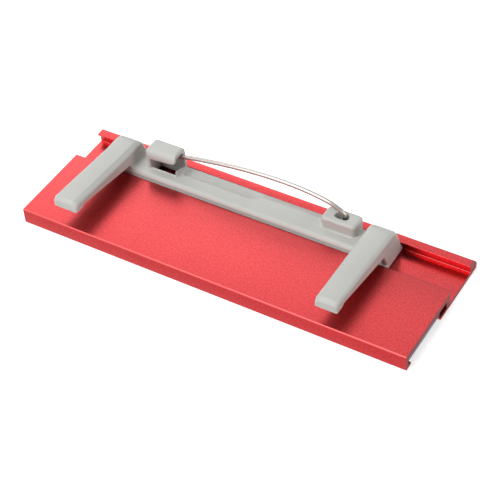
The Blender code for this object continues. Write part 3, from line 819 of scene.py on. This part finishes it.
skin = bmesh.new()
for piece in [moulding, *clips]:
    skin.from_mesh(evaluated(piece))
for piece in [moulding, *clips, *forms]:
    bpy.data.objects.remove(piece)
skin = kept(skin, "skin")
melt = skin.modifiers.new("melt", "REMESH")
melt.mode = "VOXEL"
melt.voxel_size = VOXEL
soften = skin.modifiers.new("soften", "SMOOTH")
soften.factor = SOFTENING
soften.iterations = SOFTENING_PASSES
melted = evaluated(skin)
bpy.data.objects.remove(skin)
print("skin:", len(melted.polygons), "faces")

# %% Fastener pieces
SPLITS = (LEFT + ARM_WIDTH + 1.3, RIGHT - ARM_WIDTH - 0.9)
SKIN_CREASE = 60.0


def slice_of(low, high, name):
    """The part of the melted skin between two places along the bar."""
    form = bmesh.new()
    form.from_mesh(melted)
    for split, outward in ((low, -1.0), (high, 1.0)):
        everything = form.verts[:] + form.edges[:] + form.faces[:]
        bmesh.ops.bisect_plane(form, geom=everything, plane_co=(split, 0, 0), plane_no=(outward, 0, 0),
                               clear_outer=True)
    piece = to_metres(kept(form, name, grey_plastic), SKIN_CREASE)
    return piece


clip_middle = slice_of(*SPLITS, "clip_middle")
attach(clip_middle, "fastener")
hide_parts("clip_bar")
left_clip = slice_of(LEFT - PAST, SPLITS[0], "left_clip")
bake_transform(left_clip)
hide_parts("left_clip_arm")
right_clip = slice_of(SPLITS[1], RIGHT + PAST, "right_clip")
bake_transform(right_clip)
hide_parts("right_clip_arm")
print("clips:", len(left_clip.data.polygons), "and", len(right_clip.data.polygons), "faces")

# %% [markdown]
# ## The pin
#
# The wire stands up out of the socket, bows over the bar and runs down into the hood. One cubic curve
# follows that bow. A ring of vertices swept along it makes the wire, and the rings shrink to a point at
# the free end.

# %% Pin path
PIN_TIP = (-20.2, PIN_Y, 6.35)
PIN_STEPS = 120
STUB = (1.8, 0.9)
RISE_PULL = 2.9
TIP_PULL = 22.4
TIP_SLOPE = 0.25

start = Vector((PIN_X, PIN_Y, SOCKET_TOP))
tip = Vector(PIN_TIP)
tip_pull = Vector((1, 0, TIP_SLOPE)).normalized() * TIP_PULL
pulls = (start, start + Vector((0, 0, RISE_PULL)), tip + tip_pull, tip)
path = [start - Vector((0, 0, depth)) for depth in STUB]
for count in range(PIN_STEPS + 1):
    t = count / PIN_STEPS
    weights = ((1 - t) ** 3, 3 * t * (1 - t) ** 2, 3 * t * t * (1 - t), t ** 3)
    path.append(sum((pull * weight for pull, weight in zip(pulls, weights)), Vector()))
print("pin path of", len(path), "points, up to", round(max(point.z for point in path), 2))

# %% Pin wire
PIN_RADIUS = 0.375
PIN_SIDES = 20
POINT_LENGTH = 2.4
POINT_SHARE = 0.12

wire = bmesh.new()
rings = []
level = Vector((0, 1, 0))
angles = [2 * math.pi * turn / PIN_SIDES for turn in range(PIN_SIDES)]
for index, point in enumerate(path):
    along = (path[min(index + 1, len(path) - 1)] - path[max(index - 1, 0)]).normalized()
    upright = along.cross(level)
    share = min(1.0, POINT_SHARE + (1 - POINT_SHARE) * (point - tip).length / POINT_LENGTH)
    spokes = [(level * math.cos(a) + upright * math.sin(a)) * (PIN_RADIUS * share) for a in angles]
    rings.append([wire.verts.new(point + spoke) for spoke in spokes])
for near, far in zip(rings, rings[1:]):
    for turn in range(PIN_SIDES):
        wire.faces.new((near[turn - 1], near[turn], far[turn], far[turn - 1]))
wire.faces.new(rings[0])
wire.faces.new(rings[-1])
bmesh.ops.recalc_face_normals(wire, faces=wire.faces)
pin = to_metres(kept(wire, "pin", bright_steel))
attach(pin, "pin")
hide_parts("pin_wire")
print("pin:", len(pin.data.polygons), "faces")

# %% [markdown]
# ## The insert
#
# Card and cover are flat sheets with rounded corners, cut a little shorter than the plate. Their edges
# differ from their faces: a card's cut edge gets a dull brown of painted shade, and a clear sheet's edge
# gets its blue-grey tint darkened by painted shade, for the light that enters its faces and is trapped
# inside. So each sheet has two finishes.

# %% Insert
INSERT_X = (-37.2, 37.2)
INSERT_Y = (-12.18, 0.22)
INSERT_CORNER = 0.8
COVER_Z = (0.72, 1.47)
CARD_Z = (1.59, 1.84)


def insert_sheet(name, heights, edge_finish, face_finish):
    """A sheet in the slot, with one finish on its edges and one on its faces."""
    plan = rounded([(x, y, INSERT_CORNER) for x, y in rectangle(INSERT_X, INSERT_Y)])
    return to_metres(kept(swept(plan, *heights, "Z"), name, edge_finish, face_finish))


cover = insert_sheet("cover", COVER_Z, sheet_edge_tint_and_shade, clear_sheet)
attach(cover, "cover")
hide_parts("clear_cover")
card = insert_sheet("card", CARD_Z, card_edge_painted_shade, plain_card)
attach(card, "card")
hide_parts("name_card")
print("insert:", cover.name, "and", card.name)

# %% [markdown]
# ## Floor and world
#
# The badge lies on a white sweep. The floor is a plain pale surface that also glows a little for the
# camera, so that it reads as white paper while the badge's own shadow stays on it. Metal looks like what
# it mirrors, so the world is white for reflections too. It gives no light of its own to matt surfaces,
# where it would wash out the shadows.

# %% Floor and world
FLOOR_SIZE = 2000.0
FLOOR_DROP = 0.02
PAPER = (0.86, 0.86, 0.86, 1.0)
BLACK = (0.0, 0.0, 0.0)
GLOW = (0.6, 0.6, 0.6)


def rays_seen(field):
    """1 for rays that a viewer follows: from the camera, by a mirror or through a clear sheet."""
    paths = [field.node("ShaderNodeLightPath", {}, {}, name)
             for name in ("Is Camera Ray", "Is Glossy Ray", "Is Transmission Ray")]
    return paths[0].maths("MAXIMUM", paths[0].maths("MAXIMUM", paths[0], paths[1]), paths[2])


floor_form = bmesh.new()
bmesh.ops.create_grid(floor_form, x_segments=1, y_segments=1, size=FLOOR_SIZE)
white_paper, shader, field = new_finish("white_paper", Roughness=0.9, Specular_IOR_Level=0.0)
shader.inputs["Base Color"].default_value = PAPER
shader.inputs["Emission Strength"].default_value = 1.0
rays_seen(field).colours(BLACK, GLOW).feeds(shader, "Emission Color")
floor = to_metres(kept(floor_form, "floor", white_paper))
floor.location.z = -FLOOR_DROP * MM

world = bpy.data.worlds.new("studio")
world.use_nodes = True
bpy.context.scene.world = world
sky = world.node_tree.nodes["Background"]
rays_seen(Field(world.node_tree)).feeds(sky, "Strength")
sky.inputs["Color"].default_value = (1.0, 1.0, 1.0, 1.0)
print("white floor and world")

# %% [markdown]
# ## Softboxes
#
# Satin metal shows a blurred picture of its lights, so they are large and soft. The front and the high one
# light the badge from the camera's side. The top and the back one stand near the direction that the
# plate's sheet mirrors to the camera, so they decide how bright the sheet looks. The right one lights the
# plate's end and the right sides of the posts.


# %% Softboxes
def softbox(name, place, size, power):
    """A square area light, placed in metres and turned to the badge."""
    lamp = bpy.data.lights.new(name, "AREA")
    lamp.size = size
    lamp.energy = power
    holder = bpy.data.objects.new(name, lamp)
    holder.location = place
    holder.rotation_euler = (-holder.location).to_track_quat("-Z", "Y").to_euler()
    bpy.context.scene.collection.objects.link(holder)


softbox("front_softbox", (-0.24, -0.42, 0.36), size=0.50, power=1.4)
softbox("high_softbox", (-0.12, -0.26, 0.53), size=0.40, power=2.08)
softbox("top_softbox", (-0.15, 0.20, 0.55), size=0.60, power=0.5)
softbox("back_softbox", (-0.36, 0.29, 0.29), size=0.38, power=0.60)
softbox("right_softbox", (0.42, 0.10, 0.16), size=0.30, power=0.76)
print("five softboxes")

# %% [markdown]
# ## Camera
#
# The camera was found by fitting the plate's long edges, its ends and the fastener to the photograph.
# It looks down at about 44 degrees from the badge's front right.

# %% Camera
CAMERA_AT = Vector((0.110450, -0.162120, 0.189609))
CAMERA_RIGHT = Vector((0.857928, 0.510352, -0.059169))
CAMERA_DOWN = Vector((0.32111, -0.62254, -0.71367))
CAMERA_AHEAD = Vector((-0.401059, 0.593279, -0.697977))
FOCAL_LENGTH = 113.85
SENSOR_WIDTH = 36.0
NEAREST = 0.01

lens = bpy.data.cameras.new("camera")
lens.lens = FOCAL_LENGTH
lens.sensor_width = SENSOR_WIDTH
lens.clip_start = NEAREST
camera = bpy.data.objects.new("camera", lens)
camera.matrix_world = Matrix((CAMERA_RIGHT, -CAMERA_DOWN, -CAMERA_AHEAD)).transposed().to_4x4()
camera.location = CAMERA_AT
bpy.context.scene.collection.objects.link(camera)
bpy.context.scene.camera = camera
bpy.context.scene.view_settings.view_transform = "Standard"
print("camera at", tuple(round(v, 3) for v in CAMERA_AT))
